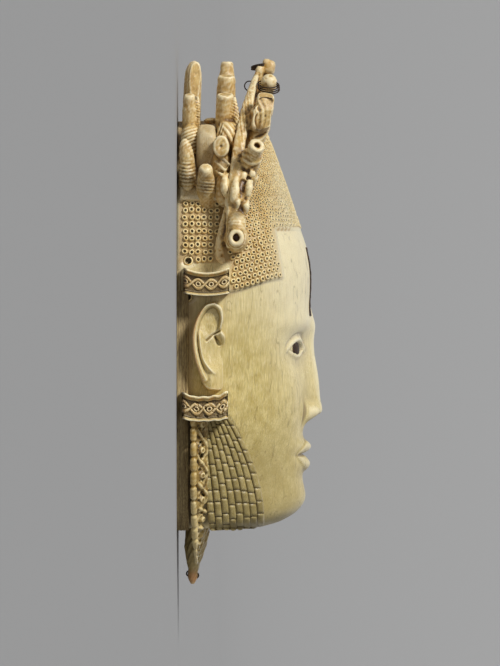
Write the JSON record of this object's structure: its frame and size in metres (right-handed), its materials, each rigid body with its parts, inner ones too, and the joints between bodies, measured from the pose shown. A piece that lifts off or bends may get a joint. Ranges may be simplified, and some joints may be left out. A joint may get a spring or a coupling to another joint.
{
  "type": "ivory pendant mask",
  "caption": "Hollow-backed ivory pendant mask with a calm face, cap of curls, crest of figures, bead strands and openwork collar, lying on its flat back rim.",
  "frame": {"origin": "middle of the box's underside, with the mask lying face up on its back rim", "axes": "+Y along the mask from the collar's tip to the top of the crest, +Z out of the face, X across"},
  "size_m": [0.127, 0.238, 0.0647],
  "materials": {
    "ivory": "worn old ivory, satin, with brown patina in the recesses",
    "iron": "dull dark iron with a trace of rust",
    "wire": "blackened wire with brown corrosion"
  },
  "bodies": {
    "root": {"ivory_mask": "ivory", "forehead_inlay_right": "iron", "forehead_inlay_left": "iron", "pupil_inlay_right": "iron", "pupil_inlay_left": "iron", "crest_wire_coil": "wire", "crest_wire_band": "wire", "tip_wire": "wire"}
  },
  "joints": []
}
